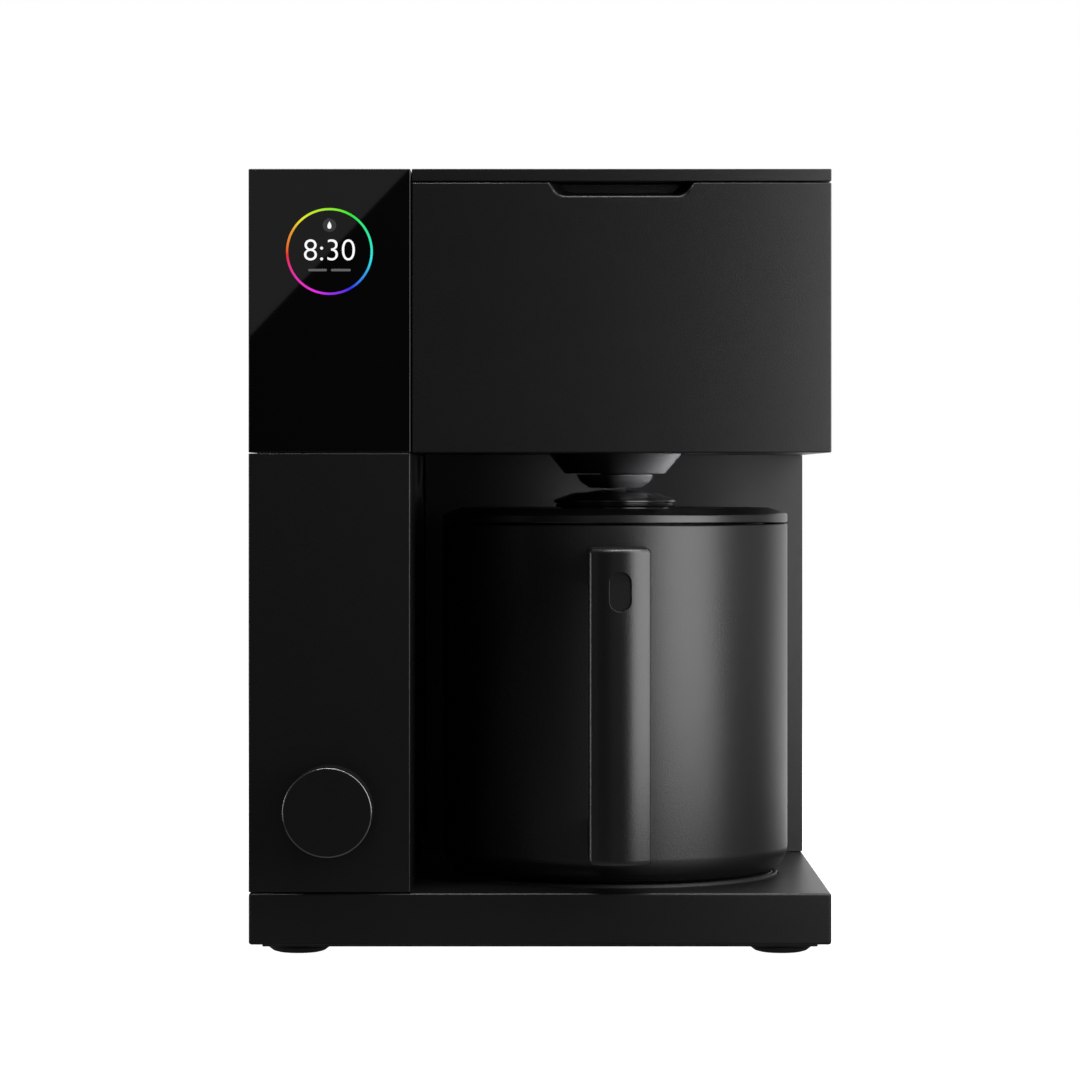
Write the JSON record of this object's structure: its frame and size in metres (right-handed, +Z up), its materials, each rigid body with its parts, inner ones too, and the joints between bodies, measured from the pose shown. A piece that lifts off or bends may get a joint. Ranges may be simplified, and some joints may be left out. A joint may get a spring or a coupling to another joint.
{
  "type": "drip coffee brewer",
  "caption": "Boxy black drip coffee brewer with a round display, a dial, a lift-out water tank and an insulated carafe in an open bay.",
  "frame": {"origin": "middle of the footprint, carafe grip included, on the counter", "axes": "+X to the right seen from the front, +Y to the back, +Z up"},
  "size_m": [0.225, 0.255, 0.3045],
  "materials": {
    "matte_black": "fine satin black",
    "soft_black": "soft matte black",
    "display_glass": "mirror-gloss black, lit display behind",
    "black_steel": "satin black coating on steel",
    "stainless": "brushed",
    "spring_steel": "bright wire",
    "rubber": "matte",
    "silicone": "soft satin",
    "hose": "milky translucent silicone",
    "smoked_tank": "smoked transparent",
    "inner_plastic": "plain moulded",
    "circuit_board": "green board",
    "aluminium": "cast",
    "galvanised": "zinc plated"
  },
  "bodies": {
    "machine": {"base_tray": "matte_black", "bottom_cover": "soft_black", "foot_front_left": "rubber", "foot_front_right": "rubber", "foot_rear_left": "rubber", "foot_rear_right": "rubber", "carafe_pad": "silicone", "encoder": "inner_plastic", "tower_lower_shell": "matte_black", "tower_upper_shell": "matte_black", "display_glass": "display_glass", "display_module": "inner_plastic", "control_board": "circuit_board", "partition_wall": "inner_plastic", "head_shell": "matte_black", "top_deck": "inner_plastic", "back_column": "matte_black", "rear_cover": "matte_black", "column_frame": "galvanised", "rear_screw_lower_left": "galvanised", "rear_screw_lower_right": "galvanised", "rear_screw_upper_left": "galvanised", "rear_screw_upper_right": "galvanised", "power_inlet": "inner_plastic", "power_board": "circuit_board", "tank_dock": "matte_black", "tank_seat": "inner_plastic", "flow_meter": "inner_plastic", "pump": "aluminium", "heater": "aluminium", "pump_hose": "hose", "riser_hose": "hose", "outlet_port": "silicone", "rear_top_cover": "matte_black", "lid_hinge_pin": "stainless", "basket_holder": "soft_black", "filter_insert": "soft_black", "drip_stop_body": "soft_black", "drip_valve_spring": "spring_steel"},
    "brew_lid": {"lid_plate": "matte_black", "lid_liner": "inner_plastic", "shower_plate": "stainless", "lid_seal": "silicone"},
    "tank": {"tank_body": "smoked_tank", "tank_outlet": "inner_plastic", "tank_hinge_strip": "matte_black", "tank_hinge_pin": "stainless"},
    "tank_lid": {"tank_lid": "matte_black"},
    "tank_poppet": {"tank_poppet": "silicone"},
    "drip_valve": {"drip_valve": "silicone"},
    "encoder_push": {"encoder_plunger": "inner_plastic"},
    "knob": {"knob_cap": "matte_black", "knob_shaft": "aluminium"},
    "carafe": {"carafe_shell": "black_steel", "carafe_flask": "stainless", "carafe_collar": "inner_plastic", "carafe_handle": "soft_black"},
    "carafe_lid": {"carafe_lid": "soft_black", "lid_dome": "soft_black", "brew_tube": "inner_plastic"}
  },
  "joints": [
    {"name": "brew_lid_hinge", "type": "hinge", "parent": "machine", "child": "brew_lid", "pos_m": [0.0315, 0.108, 0.3013], "axis": [-1, 0, 0], "range_deg": [0, 95]},
    {"name": "tank_lift", "type": "slide", "parent": "machine", "child": "tank", "axis": [0, 0, 1], "range_m": [0, 0.245]},
    {"name": "tank_lid_hinge", "type": "hinge", "parent": "tank", "child": "tank_lid", "pos_m": [-0.0829, 0.116, 0.3013], "axis": [-1, 0, 0], "range_deg": [0, 95]},
    {"name": "tank_poppet_lift", "type": "slide", "parent": "tank", "child": "tank_poppet", "axis": [0, 0, 1], "range_m": [0, 0.0025]},
    {"name": "drip_valve_lift", "type": "slide", "parent": "machine", "child": "drip_valve", "axis": [0, 0, 1], "range_m": [0, 0.003], "stiffness_N_per_m": 250, "springref_m": -0.004, "deforming": ["drip_valve_spring"]},
    {"name": "knob_push", "type": "slide", "parent": "machine", "child": "encoder_push", "axis": [0, 1, 0], "range_m": [0, 0.0006], "stiffness_N_per_m": 3500, "springref_m": -0.0004},
    {"name": "knob_turn", "type": "hinge", "parent": "encoder_push", "child": "knob", "pos_m": [-0.08125, -0.1, 0.0574], "axis": [0, 1, 0], "continuous": true},
    {"name": "carafe_slide", "type": "slide", "parent": "machine", "child": "carafe", "axis": [0, -1, 0], "range_m": [0, 0.2]},
    {"name": "carafe_lid_turn", "type": "hinge", "parent": "carafe", "child": "carafe_lid", "pos_m": [0.0305, -0.0125, 0.17], "axis": [0, 0, 1], "range_deg": [0, 60]}
  ]
}
